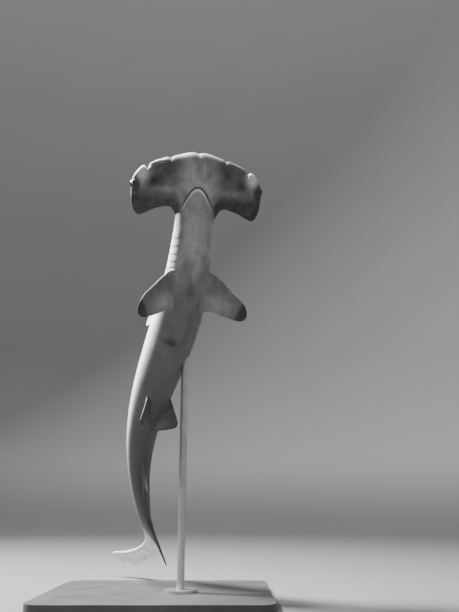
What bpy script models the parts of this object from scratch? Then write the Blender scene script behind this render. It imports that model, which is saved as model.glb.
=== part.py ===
"""Hammerhead shark, life size and still, rising belly forward on a display stand.

Metres, +Z up, the viewer stands at -Y. The origin is the middle of the stand's underside.
Sizes that end in _SHARE, and the rows of the tables, are shares of the shark's length.
"""
import math

import bmesh
import bpy
import numpy as np
from mathutils import Matrix, Vector
from mathutils.bvhtree import BVHTree

# Driving sizes
LENGTH = 2.40
GAP = 0.0003
SNOUT = (0.157, -0.405, 1.838)
RING_POINTS = 24
FOIL_POINTS = 8
HEAD_PLACE = 0.05

# How the body lies. Each row is the place along the body, the lean of the body's axis out of the
# upright towards the viewer, its sway to the viewer's right and the roll of the back to the left.
POSE = (
    (0.00, 27, 3.5, 10),
    (0.10, 27, 5, 10),
    (0.20, 26, 10, 13),
    (0.30, 25, 16, 19),
    (0.40, 26, 20, 23),
    (0.50, 28, 15, 24),
    (0.60, 31, 4, 23),
    (0.70, 33, -6, 27),
    (0.79, 56, -5, 44),
    (0.86, 70, 26, 62),
    (0.93, 80, 43, 52),
    (1.00, 96, 52, 32),
)

# The body from the head to the tip of the tail's upper lobe. Each row is the place along the body,
# half the width, the height above the axis, the depth below it and how much fuller the back is.
BODY = (
    (0.020, 0.018, 0.008, 0.008, 0.0),
    (0.060, 0.031, 0.019, 0.018, -0.04),
    (0.100, 0.035, 0.031, 0.026, -0.06),
    (0.150, 0.037, 0.045, 0.036, -0.08),
    (0.210, 0.040, 0.056, 0.043, -0.10),
    (0.280, 0.044, 0.061, 0.050, -0.10),
    (0.360, 0.0435, 0.058, 0.050, -0.08),
    (0.450, 0.038, 0.048, 0.042, -0.06),
    (0.550, 0.0285, 0.035, 0.032, -0.02),
    (0.620, 0.022, 0.027, 0.026, 0.0),
    (0.700, 0.0150, 0.0215, 0.0210, 0.05),
    (0.735, 0.0115, 0.0190, 0.0200, 0.25),
    (0.780, 0.0075, 0.0180, 0.0205, 0.55),
    (0.850, 0.0052, 0.0170, 0.0200, 0.72),
    (0.920, 0.0042, 0.0145, 0.0215, 0.75),
    (0.953, 0.0036, 0.0120, 0.0245, 0.75),
    (0.962, 0.0034, 0.0115, 0.0140, 0.70),
    (0.974, 0.0032, 0.0105, 0.0200, 0.70),
    (0.992, 0.0024, 0.0080, 0.0150, 0.65),
    (1.000, 0.0010, 0.0030, 0.0060, 0.50),
)
# Where the body is parted into its nodes
HEAD_END = 0.130
NECK_END = 0.228
CHEST_END = 0.345
BELLY_END = 0.470
LOIN_END = 0.590
STEM_END = 0.722

# Gill slits: places along the body, how far a flap stands up and where round the flank they lie
GILL_SLITS = (0.156, 0.171, 0.186, 0.200, 0.212)
FLAP_RISE = 0.0022
FLAP_STEP = 0.0004
GILL_TOP = 80
GILL_FOOT = 140

# The hammer. Each row is the place along a wing and how far the margin lies behind the snout.
WING_FRONT = (
    (0.000, -0.0022),
    (0.011, -0.0018),
    (0.042, 0.0070),
    (0.062, 0.0125),
    (0.082, 0.0204),
    (0.092, 0.0265),
    (0.103, 0.0312),
    (0.110, 0.0392),
    (0.115, 0.0470),
    (0.118, 0.0550),
    (0.120, 0.0640),
)
WING_REAR = (
    (0.000, 0.1200),
    (0.034, 0.1200),
    (0.038, 0.1130),
    (0.043, 0.1030),
    (0.051, 0.0985),
    (0.064, 0.1000),
    (0.080, 0.1056),
    (0.094, 0.1130),
    (0.105, 0.1160),
    (0.111, 0.1120),
    (0.115, 0.1040),
    (0.118, 0.0920),
    (0.120, 0.0760),
)
WING_THICKNESS = (
    (0.000, 0.0400),
    (0.030, 0.0380),
    (0.060, 0.0290),
    (0.090, 0.0240),
    (0.106, 0.0205),
    (0.114, 0.0150),
    (0.118, 0.0105),
    (0.120, 0.0050),
)
WING_EDGE = 0.10
# Dents in the front margin: place along the wing, depth and half width
DENTS = ((0.000, 0.0022, 0.0050), (0.050, 0.0024, 0.0036), (0.0915, 0.0075, 0.0030))
WING_DROOP = 0.004
WING_STATIONS = (
    0.0, 0.005, 0.013, 0.025, 0.036, 0.044, 0.050, 0.056, 0.067, 0.078, 0.086, 0.0895,
    0.0915, 0.0940, 0.099, 0.105, 0.110, 0.114, 0.117, 0.119, 0.120,
)

# Mouth, nostrils and eyes, on the head
MOUTH_FRONT = 0.0617
MOUTH_CORNER = 0.0985
MOUTH_HALF = 0.0270
JAW_BACK = 0.1060
JAW_DEPTH = 0.0100
MOUTH_SLIT = 0.0012
LIP_RADIUS = 0.0016
NOSTRIL_PLACE = (0.0905, 0.0350)
NOSTRIL_SIZE = (0.0075, 0.0022, 0.0040)
NOSTRIL_SLANT = 20
NOSTRIL_FORWARD = 0.0020
NOSTRIL_BELOW = 0.0045
EYE_PLACE = (0.1130, 0.0625)
EYE_BELOW = 0.0012
EYE_RADIUS = 0.0088
LID_RING = 0.0078
LID_OUT = 0.8
LID_RADIUS = 0.0015
LID_DEPTH = 0.0040
BELOW_JAW = 0.060

# Fins. Each row is how far out from the body, then the front and the rear margin at that height,
# measured back from the front end of the fin's base.
FIRST_DORSAL = (
    (-0.020, 0.006, 0.085),
    (0.000, 0.000, 0.090),
    (0.008, 0.006, 0.128),
    (0.022, 0.017, 0.107),
    (0.045, 0.036, 0.093),
    (0.072, 0.058, 0.092),
    (0.100, 0.077, 0.103),
    (0.120, 0.089, 0.113),
    (0.130, 0.098, 0.114),
)
SECOND_DORSAL = (
    (-0.008, 0.004, 0.034),
    (0.000, 0.000, 0.036),
    (0.004, 0.004, 0.084),
    (0.010, 0.010, 0.062),
    (0.017, 0.018, 0.048),
    (0.024, 0.028, 0.044),
)
ANAL_FIN = (
    (-0.008, 0.006, 0.048),
    (0.000, 0.000, 0.050),
    (0.005, 0.004, 0.086),
    (0.012, 0.011, 0.062),
    (0.021, 0.021, 0.052),
    (0.030, 0.033, 0.053),
    (0.035, 0.042, 0.053),
)
LOWER_LOBE = (
    (-0.010, 0.002, 0.050),
    (0.000, 0.000, 0.054),
    (0.012, 0.015, 0.052),
    (0.026, 0.034, 0.058),
    (0.040, 0.054, 0.069),
    (0.050, 0.069, 0.077),
    (0.054, 0.076, 0.080),
)
PECTORAL = (
    (-0.016, 0.004, 0.054),
    (0.000, 0.000, 0.062),
    (0.009, 0.000, 0.085),
    (0.020, 0.003, 0.0770),
    (0.034, 0.0065, 0.0664),
    (0.050, 0.0120, 0.0640),
    (0.066, 0.0170, 0.0629),
    (0.082, 0.0232, 0.0610),
    (0.095, 0.0318, 0.0580),
    (0.1035, 0.0410, 0.0530),
)
PELVIC = (
    (-0.010, 0.006, 0.042),
    (0.000, 0.000, 0.045),
    (0.009, 0.005, 0.071),
    (0.020, 0.0135, 0.0610),
    (0.033, 0.0225, 0.0495),
    (0.0425, 0.0305, 0.0390),
)
FIN_EDGE = 0.0004
FIN_TAPER = 0.75

# Fins on the middle line: rows, start along the body, 1 on the back or -1 below, thickness
MEDIAN_FINS = {
    "first_dorsal_fin": (FIRST_DORSAL, 0.256, 1, 0.0105),
    "second_dorsal_fin": (SECOND_DORSAL, 0.605, 1, 0.0045),
    "anal_fin": (ANAL_FIN, 0.588, -1, 0.0050),
}
LOWER_LOBE_BASE = 0.726
LOWER_LOBE_HEADING = 0.725
LOWER_LOBE_THICKNESS = 0.0080
# Fins in pairs: rows, start, angles of the base's ends from the back, droop, sweep, side, thickness
PAIRED_FINS = {
    "pectoral_fin_left": (PECTORAL, 0.208, (125, 145), 36, 13, 1, 0.0105),
    "pectoral_fin_right": (PECTORAL, 0.213, (130, 146), 29, 23, -1, 0.0105),
    "pelvic_fin_left": (PELVIC, 0.455, (138, 168), 40, 1, 1, 0.0065),
    "pelvic_fin_right": (PELVIC, 0.455, (150, 170), 50, 4, -1, 0.0065),
}
# A smooth foil's half thickness: the factors of the root and the first four powers of its chord
FOIL_CURVE = (2.969, -1.26, -3.516, 2.843, -1.036)

# The stand
BASE_SIZE = (0.92, 0.78, 0.034)
BASE_CORNER = 0.06
ROD_RADIUS = 0.016
ROD_FOOT = (0.090, -0.045)
ROD_TOP = 1.14
FOOT_RADIUS = 0.070
FOOT_HEIGHT = 0.012


def between(rows, column, place):
    """The column's value at each place, on a smooth curve through the rows."""
    table = np.array(rows, float)
    stops = table[:, 0]
    values = table[:, column]
    place = np.clip(np.asarray(place, float), stops[0], stops[-1])
    step = np.diff(stops)
    rise = np.diff(values) / step
    slope = np.concatenate((rise[:1], np.zeros(len(rise) - 1), rise[-1:]))
    slope[1:-1] = (rise[:-1] * step[1:] + rise[1:] * step[:-1]) / (step[1:] + step[:-1])
    index = np.clip(np.searchsorted(stops, place, side="right") - 1, 0, len(step) - 1)
    width = step[index]
    t = (place - stops[index]) / width
    start = (1 + 2 * t) * (1 - t) ** 2 * values[index] + t * (1 - t) ** 2 * width * slope[index]
    end = t * t * (3 - 2 * t) * values[index + 1] + t * t * (t - 1) * width * slope[index + 1]
    return start + end


def headings(place):
    """Unit vectors towards the head, to the shark's left and to its back, at a place."""
    lean, sway, roll = (np.radians(between(POSE, column, place)) for column in (1, 2, 3))
    ahead = np.stack((np.sin(sway), -np.cos(sway) * np.sin(lean), np.cos(sway) * np.cos(lean)), -1)
    level = np.array((1.0, 0.0, 0.0)) - ahead[..., :1] * ahead
    level = level / np.linalg.norm(level, axis=-1, keepdims=True)
    rear = np.cross(ahead, level)
    turn_cos = np.cos(roll)[..., None]
    turn_sin = np.sin(roll)[..., None]
    left = turn_cos * level + turn_sin * rear
    back = turn_cos * rear - turn_sin * level
    return ahead, left, back


AXIS_PLACES = np.linspace(0.0, 1.0, 801)
AXIS_STEPS = headings((AXIS_PLACES[1:] + AXIS_PLACES[:-1]) / 2)[0] * np.diff(AXIS_PLACES)[:, None]
AXIS_POINTS = np.array(SNOUT) - LENGTH * np.vstack((np.zeros(3), np.cumsum(AXIS_STEPS, 0)))


def axis_point(place):
    return np.array([np.interp(place, AXIS_PLACES, AXIS_POINTS[:, k]) for k in range(3)])


def gill_flaps(place, angle):
    """How far the gill flaps lift the skin at a place and at an angle from the back, in degrees."""
    inside = [slit for slit in GILL_SLITS if slit >= place]
    first = GILL_SLITS[0] - 0.018
    if place < first or not inside:
        return 0.0
    start = max([first] + [slit for slit in GILL_SLITS if slit < place])
    along = (place - start) / (inside[0] - start)
    middle = (GILL_TOP + GILL_FOOT) / 2
    across = 1 - (abs(abs(angle) - middle) / ((GILL_FOOT - GILL_TOP) / 2)) ** 2
    return FLAP_RISE * along ** 1.5 * max(across, 0.0) ** 0.5


def body_ring(place, grow=0.0):
    """One cross section of the body, from the back round the left flank, grown by a margin."""
    ahead, left, back = headings(place)
    half, above, below, fuller = (between(BODY, column, place) for column in (1, 2, 3, 4))
    points = []
    for k in range(RING_POINTS):
        angle = 2 * math.pi * k / RING_POINTS
        degrees = math.degrees(math.remainder(angle, 2 * math.pi))
        rise = math.cos(angle)
        side = math.sin(angle) * (1 + fuller * rise)
        lift = gill_flaps(place, degrees)
        outward = LENGTH * (half + lift) + grow
        upward = LENGTH * ((above if rise > 0 else below) + lift * (abs(rise) > 0.01)) + grow
        points.append(axis_point(place) + left * side * outward + back * rise * upward)
    return points


def body_places():
    """The places of all the body's cross sections, with the steps of the gill flaps."""
    places = [0.020, 0.040, 0.060, 0.080, 0.100, 0.115, HEAD_END, 0.139]
    for slit in GILL_SLITS:
        places += [slit - 0.008, slit, slit + FLAP_STEP]
    places += [0.220, NECK_END, 0.245, 0.270, 0.300, CHEST_END - 0.015, CHEST_END, 0.375, 0.405]
    places += [0.440, BELLY_END, 0.500, 0.530, 0.560, LOIN_END, 0.615, 0.640, 0.670, 0.700]
    places += [STEM_END, 0.740, 0.760, 0.785, 0.815, 0.845, 0.875, 0.905, 0.930, 0.945, 0.953]
    places += [0.957, 0.962, 0.967, 0.974, 0.984, 0.992, 0.997, 1.000]
    return places


def loft(name, rings):
    """A closed body through the rings, with its quads split alike on both faces."""
    mesh = bmesh.new()
    rows = [[mesh.verts.new(point) for point in ring] for ring in rings]
    count = len(rings[0])
    for near, far in zip(rows, rows[1:]):
        for k in range(count):
            a, b, c, d = near[k], near[(k + 1) % count], far[(k + 1) % count], far[k]
            halves = ((a, b, c), (a, c, d)) if k < count // 2 else ((a, b, d), (b, c, d))
            for corners in halves:
                mesh.faces.new(corners)
    for row in (rows[0], rows[-1]):
        for k in range(count // 2):
            corners = (row[k], row[k + 1], row[count - k - 1], row[(count - k) % count])
            mesh.faces.new(list(dict.fromkeys(corners)))
    bmesh.ops.recalc_face_normals(mesh, faces=mesh.faces)
    return add_object(name, mesh)


def add_object(name, mesh):
    data = bpy.data.meshes.new(name)
    mesh.to_mesh(data)
    mesh.free()
    item = bpy.data.objects.new(name, data)
    bpy.context.scene.collection.objects.link(item)
    return item


def keep_largest(mesh):
    """Leave only the closed surface with the largest volume."""
    left = set(mesh.verts)
    islands = []
    while left:
        seed = left.pop()
        island = {seed}
        front = [seed]
        while front:
            vertex = front.pop()
            near = {edge.other_vert(vertex) for edge in vertex.link_edges} - island
            island |= near
            front += near
        left -= island
        islands.append(island)
    largest = max(islands, key=island_volume)
    scraps = [vertex for island in islands if island is not largest for vertex in island]
    bmesh.ops.delete(mesh, geom=scraps, context="VERTS")


def island_volume(island):
    """Six times the volume inside the faces round these corners."""
    faces = {face for vertex in island for face in vertex.link_faces}
    total = 0.0
    for face in faces:
        corners = [vertex.co for vertex in face.verts]
        for second, third in zip(corners[1:], corners[2:]):
            total += corners[0].dot(second.cross(third))
    return abs(total)


def combine(item, other, operation):
    """Join the other to the item, cut it away or keep what they share, then drop the other."""
    step = item.modifiers.new(operation.lower(), "BOOLEAN")
    step.operation = operation
    step.solver = "EXACT"
    step.object = other
    bpy.context.view_layer.update()
    graph = bpy.context.evaluated_depsgraph_get()
    result = bmesh.new()
    result.from_object(item, graph)
    item.modifiers.clear()
    bmesh.ops.dissolve_degenerate(result, dist=0.00001, edges=result.edges)
    bmesh.ops.triangulate(result, faces=[face for face in result.faces if len(face.verts) > 4])
    keep_largest(result)
    result.to_mesh(item.data)
    result.free()
    return item


def remove(item):
    bpy.data.objects.remove(item)


def body_length(name, start, end, grow=0.0):
    """One length of the body between two cuts."""
    margin = GAP / 2 / LENGTH if grow == 0 else 0.0
    inner = [place for place in body_places() if start + 0.0005 < place < end - 0.0005]
    first = start + margin if start > BODY[0][0] else start
    last = end - margin if end < BODY[-1][0] else end
    return loft(name, [body_ring(place, grow) for place in [first] + inner + [last]])


def foil_share(chord):
    """Half the thickness of a fin's section, as a share of the whole, at a share of its chord."""
    powers = (math.sqrt(chord), chord, chord ** 2, chord ** 3, chord ** 4)
    return sum(factor * power for factor, power in zip(FOIL_CURVE, powers))


def foil_ring(front, rear, normal, thickness, edge):
    """A section from the front margin over one face to the rear margin and back."""
    chords = [(1 - math.cos(math.pi * k / FOIL_POINTS)) / 2 for k in range(1, FOIL_POINTS + 1)]
    one_face = []
    other_face = []
    for chord in chords:
        middle = front + (rear - front) * chord
        rise = normal * (thickness * foil_share(chord) / 2 + edge * chord)
        one_face.append(middle + rise)
        other_face.append(middle - rise)
    return [front] + one_face + other_face[::-1]


def fin(name, rows, origin, outward, backward, thickness):
    """A tapering fin that stands out from the origin, with its base sunk in the body."""
    normal = np.cross(outward, backward)
    height = rows[-1][0]
    rings = []
    for out, lead, trail in rows:
        front = origin + LENGTH * (out * outward + lead * backward)
        rear = origin + LENGTH * (out * outward + trail * backward)
        share = 1 - FIN_TAPER * max(out, 0.0) / height
        rings.append(foil_ring(front, rear, normal, LENGTH * thickness * share, LENGTH * FIN_EDGE))
    return loft(name, rings)


def smooth_rows(rows, pieces=2):
    """More rows between the given ones, on the same smooth margins, above the sunk base."""
    outs = [row[0] for row in rows]
    places = [outs[0]]
    for low, high in zip(outs[1:], outs[2:]):
        places += [low + (high - low) * k / pieces for k in range(pieces)]
    places.append(outs[-1])
    return [(out, float(between(rows, 1, out)), float(between(rows, 2, out))) for out in places]


def at_right_angles(direction, to):
    direction = direction - np.dot(direction, to) * to
    return direction / np.linalg.norm(direction)


def median_fin(name, rows, start, upward, thickness):
    """A fin on the middle line of the back, or of the belly where upward is -1."""
    middle = start + rows[1][2] / 2
    left, back = headings(middle)[1:]
    first = surface_point(start, 0 if upward > 0 else 180)
    last = surface_point(start + rows[1][2], 0 if upward > 0 else 180)
    backward = (last - first) / np.linalg.norm(last - first)
    outward = at_right_angles(back * upward, backward)
    outward = at_right_angles(outward, left)
    return fin(name, smooth_rows(rows), first, outward, backward, thickness)


def surface_point(place, angle):
    """A point of the body's skin, at degrees from the back round the left flank."""
    left, back = headings(place)[1:]
    half, above, below, fuller = (between(BODY, column, place) for column in (1, 2, 3, 4))
    turn = math.radians(angle)
    rise = math.cos(turn)
    side = math.sin(turn) * (1 + fuller * rise)
    reach = above if rise > 0 else below
    return axis_point(place) + LENGTH * (left * side * half + back * rise * reach)


def paired_fin(name, rows, start, angles, droop, sweep, side, thickness):
    """A fin of a pair: side is 1 for the shark's left and -1 for its right."""
    end = start + rows[1][2]
    left, back = headings((start + end) / 2)[1:]
    first = surface_point(start, side * angles[0])
    last = surface_point(end, side * angles[1])
    backward = (last - first) / np.linalg.norm(last - first)
    drop = math.radians(droop)
    outward = at_right_angles(left * side * math.cos(drop) - back * math.sin(drop), backward)
    turn = math.radians(sweep)
    swept_out = outward * math.cos(turn) + backward * math.sin(turn)
    swept_back = backward * math.cos(turn) - outward * math.sin(turn)
    return fin(name, smooth_rows(rows), first, swept_out, swept_back, thickness)


def head_point(aside, behind, above=0.0):
    """A point in the head's own frame: to the shark's left, behind the snout and above the axis."""
    ahead, left, back = headings(HEAD_PLACE)
    middle = axis_point(HEAD_PLACE)
    return middle + LENGTH * (left * aside + ahead * (HEAD_PLACE - behind) + back * above)


def wing_margins(aside):
    """The front and the rear margin of the hammer, with the dents in the front one."""
    reach = abs(aside)
    front = float(between(WING_FRONT, 1, reach))
    for place, depth, half_width in DENTS:
        front += depth * math.exp(-((reach - place) / half_width) ** 2)
    return front, float(between(WING_REAR, 1, reach))


def wing_ring(aside):
    front, rear = wing_margins(aside)
    above = -WING_DROOP * (aside / WING_FRONT[-1][0]) ** 2
    thickness = LENGTH * float(between(WING_THICKNESS, 1, abs(aside)))
    back = headings(HEAD_PLACE)[2]
    return foil_ring(
        head_point(aside, front, above), head_point(aside, rear, above), back,
        thickness, thickness * WING_EDGE)


def make_hammer():
    outer = [-place for place in WING_STATIONS[:0:-1]]
    return loft("hammer", [wing_ring(aside) for aside in outer + list(WING_STATIONS)])


def arch_points(margin, count=17):
    """The mouth's arch from one corner over the front to the other, as asides and places behind."""
    depth = MOUTH_CORNER - MOUTH_FRONT
    points = []
    for k in range(count):
        share = 2 * k / (count - 1) - 1
        behind = MOUTH_FRONT - margin + depth * share ** 2
        points.append(((MOUTH_HALF + margin) * share, behind))
    return points


def jaw_block(name, slit, margin):
    """The block of the lower jaw, from below the head up to the jaw's depth."""
    outline = arch_points(slit) + [
        (MOUTH_HALF + slit, JAW_BACK + margin), (-MOUTH_HALF - slit, JAW_BACK + margin)]
    top = -float(between(BODY, 3, 0.08)) + JAW_DEPTH + margin
    mesh = bmesh.new()
    under = [mesh.verts.new(head_point(aside, behind, -BELOW_JAW)) for aside, behind in outline]
    over = [mesh.verts.new(head_point(aside, behind, top)) for aside, behind in outline]
    mesh.faces.new(under)
    mesh.faces.new(over[::-1])
    for k in range(len(outline)):
        after = (k + 1) % len(outline)
        mesh.faces.new((under[k], over[k], over[after], under[after]))
    bmesh.ops.recalc_face_normals(mesh, faces=mesh.faces)
    return add_object(name, mesh)


def tube(name, points, radius, sides=6):
    """A closed tube of even radius through the points."""
    path = np.array(points)
    along = np.gradient(path, axis=0)
    upright = headings(HEAD_PLACE)[2]
    rings = []
    for k, middle in enumerate(path):
        ahead = along[k] / np.linalg.norm(along[k])
        across = np.cross(ahead, upright)
        across = across / np.linalg.norm(across)
        over = np.cross(across, ahead)
        turns = [2 * math.pi * n / sides for n in range(sides)]
        rings.append([middle + radius * (across * math.cos(t) + over * math.sin(t)) for t in turns])
    return loft(name, rings)


def under_head(head, aside, behind):
    """The point of the head's underside below a place of its frame."""
    tree = BVHTree.FromObject(head, bpy.context.evaluated_depsgraph_get())
    start = Vector(head_point(aside, behind, -BELOW_JAW))
    return np.array(tree.ray_cast(start, Vector(headings(HEAD_PLACE)[2]))[0])


def add_lip(head):
    """The upper lip, a low ridge just outside the mouth's arch."""
    outline = arch_points(MOUTH_SLIT + LIP_RADIUS)
    points = [under_head(head, aside, behind) for aside, behind in outline]
    lip = tube("lip", points, LENGTH * LIP_RADIUS)
    combine(head, lip, "UNION")
    remove(lip)


def blob(name, middle, axes, radii, segments, rings):
    """An ellipsoid with its radii along the three axes."""
    mesh = bmesh.new()
    bmesh.ops.create_uvsphere(mesh, u_segments=segments, v_segments=rings, radius=1.0)
    turn = Matrix([[axes[c][r] * radii[c] for c in range(3)] for r in range(3)]).to_4x4()
    turn.translation = Vector(middle)
    bmesh.ops.transform(mesh, matrix=turn, verts=mesh.verts)
    bmesh.ops.recalc_face_normals(mesh, faces=mesh.faces)
    return add_object(name, mesh)


def eye_middle(side):
    above = -WING_DROOP * (EYE_PLACE[0] / WING_FRONT[-1][0]) ** 2 - EYE_BELOW
    return head_point(side * EYE_PLACE[0], EYE_PLACE[1], above)


def make_eye(name, side, grow=0.0):
    ahead, left, back = headings(HEAD_PLACE)
    radius = LENGTH * EYE_RADIUS + grow
    return blob(name, eye_middle(side), (ahead, back, left), (radius, radius, radius), 16, 10)


def add_lids(head, side):
    """The lids, a low ring round the eye."""
    ahead, left, back = headings(HEAD_PLACE)
    out = LID_OUT * math.sqrt(EYE_RADIUS ** 2 - LID_RING ** 2)
    middle = eye_middle(side) + left * side * LENGTH * out
    radius = LENGTH * (LID_RING + LID_RADIUS)
    ring = blob("lids", middle, (ahead, back, left), (radius, radius, LENGTH * LID_DEPTH), 20, 8)
    combine(head, ring, "UNION")
    remove(ring)


def cut_nostril(head, side):
    """The slit of a nostril, in the front margin beside the outer dent."""
    ahead, left, back = headings(HEAD_PLACE)
    aside, behind = NOSTRIL_PLACE
    middle = head_point(side * aside, behind - NOSTRIL_FORWARD, -NOSTRIL_BELOW)
    turn = math.radians(NOSTRIL_SLANT)
    slant = left * side * math.cos(turn) - ahead * math.sin(turn)
    across = at_right_angles(ahead, slant)
    hole = blob("nostril", middle, (slant, across, back),
                [LENGTH * size for size in NOSTRIL_SIZE], 12, 8)
    combine(head, hole, "DIFFERENCE")
    remove(hole)


def make_head():
    """The head with its hammer, lids, lips and nostrils, and the lower jaw cut free from it."""
    head = body_length("head", BODY[0][0], HEAD_END)
    hammer = make_hammer()
    combine(head, hammer, "UNION")
    remove(hammer)
    add_lip(head)
    for side in (1, -1):
        add_lids(head, side)
        cut_nostril(head, side)
        room = make_eye("room", side, GAP)
        combine(head, room, "DIFFERENCE")
        remove(room)
    jaw = head.copy()
    jaw.data = head.data.copy()
    jaw.name = "lower_jaw"
    bpy.context.scene.collection.objects.link(jaw)
    inner = jaw_block("inner", 0.0, 0.0)
    combine(jaw, inner, "INTERSECT")
    remove(inner)
    outer = jaw_block("outer", MOUTH_SLIT, GAP / LENGTH)
    combine(head, outer, "DIFFERENCE")
    remove(outer)
    return head, jaw


def make_stand(room):
    """The base, the rod up to the left of the belly and the rod's foot."""
    mesh = bmesh.new()
    bmesh.ops.create_cube(mesh, size=1.0)
    bmesh.ops.scale(mesh, vec=BASE_SIZE, verts=mesh.verts)
    bmesh.ops.translate(mesh, vec=(0, 0, BASE_SIZE[2] / 2), verts=mesh.verts)
    upright = [edge for edge in mesh.edges if abs(edge.verts[0].co.z - edge.verts[1].co.z) > 0.01]
    bmesh.ops.bevel(mesh, geom=upright, offset=BASE_CORNER, segments=6, affect="EDGES", profile=0.5)
    base = add_object("stand_base", mesh)
    foot = cylinder("stand_foot", FOOT_RADIUS, BASE_SIZE[2] + GAP, BASE_SIZE[2] + FOOT_HEIGHT, 32)
    rod = cylinder("stand_rod", ROD_RADIUS, BASE_SIZE[2] + FOOT_HEIGHT + GAP, ROD_TOP, 20)
    combine(rod, room, "DIFFERENCE")
    return base, foot, rod


def cylinder(name, radius, low, high, sides):
    mesh = bmesh.new()
    bmesh.ops.create_cone(
        mesh, cap_ends=True, segments=sides, radius1=radius, radius2=radius, depth=high - low)
    middle = (ROD_FOOT[0], ROD_FOOT[1], (high + low) / 2)
    bmesh.ops.translate(mesh, vec=middle, verts=mesh.verts)
    return add_object(name, mesh)


def make_fins():
    """All the fins but the tail's upper lobe, with their bases still sunk in the body."""
    fins = [median_fin(name, *measures) for name, measures in MEDIAN_FINS.items()]
    fins += [paired_fin(name, *measures) for name, measures in PAIRED_FINS.items()]
    ahead, _, back = headings(LOWER_LOBE_HEADING)
    base = surface_point(LOWER_LOBE_BASE, 180)
    fins.append(fin("caudal_lower_lobe", smooth_rows(LOWER_LOBE), base, -back, -ahead,
                    LOWER_LOBE_THICKNESS))
    return fins


def paint(item, name, colour, roughness, metallic=0.0):
    """Give the item its own plain material."""
    material = bpy.data.materials.new(name)
    material.use_nodes = True
    shader = material.node_tree.nodes["Principled BSDF"]
    shader.inputs["Base Color"].default_value = (*colour, 1.0)
    shader.inputs["Roughness"].default_value = roughness
    shader.inputs["Metallic"].default_value = metallic
    item.data.materials.clear()
    item.data.materials.append(material)


SKIN_PALE = (0.42, 0.41, 0.39)
SKIN_DARK = (0.17, 0.17, 0.165)
EYE_BLACK = (0.01, 0.01, 0.01)
BASE_GREY = (0.05, 0.05, 0.055)
STEEL = (0.55, 0.55, 0.56)


def main():
    for item in list(bpy.data.objects):
        bpy.data.objects.remove(item)
    head, jaw = make_head()
    lengths = [
        body_length("neck", HEAD_END, NECK_END),
        body_length("torso_chest", NECK_END, CHEST_END),
        body_length("torso_belly", CHEST_END, BELLY_END),
        body_length("torso_loin", BELLY_END, LOIN_END),
        body_length("tail_stem", LOIN_END, STEM_END),
        body_length("caudal_upper_lobe", STEM_END, BODY[-1][0]),
    ]
    room = body_length("room", BODY[0][0], BODY[-1][0], GAP)
    fins = make_fins()
    for item in fins:
        combine(item, room, "DIFFERENCE")
    eyes = [make_eye("eye_left", 1), make_eye("eye_right", -1)]
    base, foot, rod = make_stand(room)
    remove(room)
    for item in [head, jaw] + lengths + fins:
        paint(item, item.name + "_skin", SKIN_PALE if item in (head, jaw) else SKIN_DARK, 0.5)
    for item in eyes:
        paint(item, item.name + "_black", EYE_BLACK, 0.08)
    paint(base, "base_grey", BASE_GREY, 0.45)
    paint(foot, "foot_steel", STEEL, 0.3, 1.0)
    paint(rod, "rod_steel", STEEL, 0.3, 1.0)


main()
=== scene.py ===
import math

import bmesh
import bpy
import numpy as np
from mathutils import Matrix, Vector
from mathutils.bvhtree import BVHTree
from mathutils.kdtree import KDTree


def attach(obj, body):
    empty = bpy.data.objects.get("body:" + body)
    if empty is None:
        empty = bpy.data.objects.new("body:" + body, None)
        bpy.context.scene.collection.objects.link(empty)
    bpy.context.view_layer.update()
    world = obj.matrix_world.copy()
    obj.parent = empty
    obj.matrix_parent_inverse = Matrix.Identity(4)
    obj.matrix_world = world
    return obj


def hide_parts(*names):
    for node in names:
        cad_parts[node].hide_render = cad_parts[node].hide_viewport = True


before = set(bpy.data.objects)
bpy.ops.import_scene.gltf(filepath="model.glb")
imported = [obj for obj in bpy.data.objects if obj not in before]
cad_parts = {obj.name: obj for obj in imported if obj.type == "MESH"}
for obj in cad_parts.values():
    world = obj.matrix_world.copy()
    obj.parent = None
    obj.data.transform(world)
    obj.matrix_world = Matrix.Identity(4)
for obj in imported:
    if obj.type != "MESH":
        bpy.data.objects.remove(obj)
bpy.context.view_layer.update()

LENGTH = 2.40
SNOUT = (0.157, -0.405, 1.838)
HEAD_PLACE = 0.05

# How the body lies: place along it, lean to the viewer, sway to the viewer's right, roll of the back
POSE = (
    (0.00, 27, 3.5, 10),
    (0.10, 27, 5, 10),
    (0.20, 26, 10, 13),
    (0.30, 25, 16, 19),
    (0.40, 26, 20, 23),
    (0.50, 28, 15, 24),
    (0.60, 31, 4, 23),
    (0.70, 33, -6, 27),
    (0.79, 56, -5, 44),
    (0.86, 70, 26, 62),
    (0.93, 80, 43, 52),
    (1.00, 96, 52, 32),
)

# The body: place, half the width, height above the axis, depth below it, how much fuller the back is
BODY = (
    (0.020, 0.018, 0.008, 0.008, 0.0),
    (0.060, 0.031, 0.019, 0.018, -0.04),
    (0.100, 0.035, 0.031, 0.026, -0.06),
    (0.150, 0.037, 0.045, 0.036, -0.08),
    (0.210, 0.040, 0.056, 0.043, -0.10),
    (0.280, 0.044, 0.061, 0.050, -0.10),
    (0.360, 0.0435, 0.058, 0.050, -0.08),
    (0.450, 0.038, 0.048, 0.042, -0.06),
    (0.550, 0.0285, 0.035, 0.032, -0.02),
    (0.620, 0.022, 0.027, 0.026, 0.0),
    (0.700, 0.0150, 0.0215, 0.0210, 0.05),
    (0.735, 0.0115, 0.0190, 0.0200, 0.25),
    (0.780, 0.0075, 0.0180, 0.0205, 0.55),
    (0.850, 0.0052, 0.0170, 0.0200, 0.72),
    (0.920, 0.0042, 0.0145, 0.0215, 0.75),
    (0.953, 0.0036, 0.0120, 0.0245, 0.75),
    (0.962, 0.0034, 0.0115, 0.0140, 0.70),
    (0.974, 0.0032, 0.0105, 0.0200, 0.70),
    (0.992, 0.0024, 0.0080, 0.0150, 0.65),
    (1.000, 0.0010, 0.0030, 0.0060, 0.50),
)
STEM_END = 0.722
TAIL_TIP_ROUND = 0.994

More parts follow.
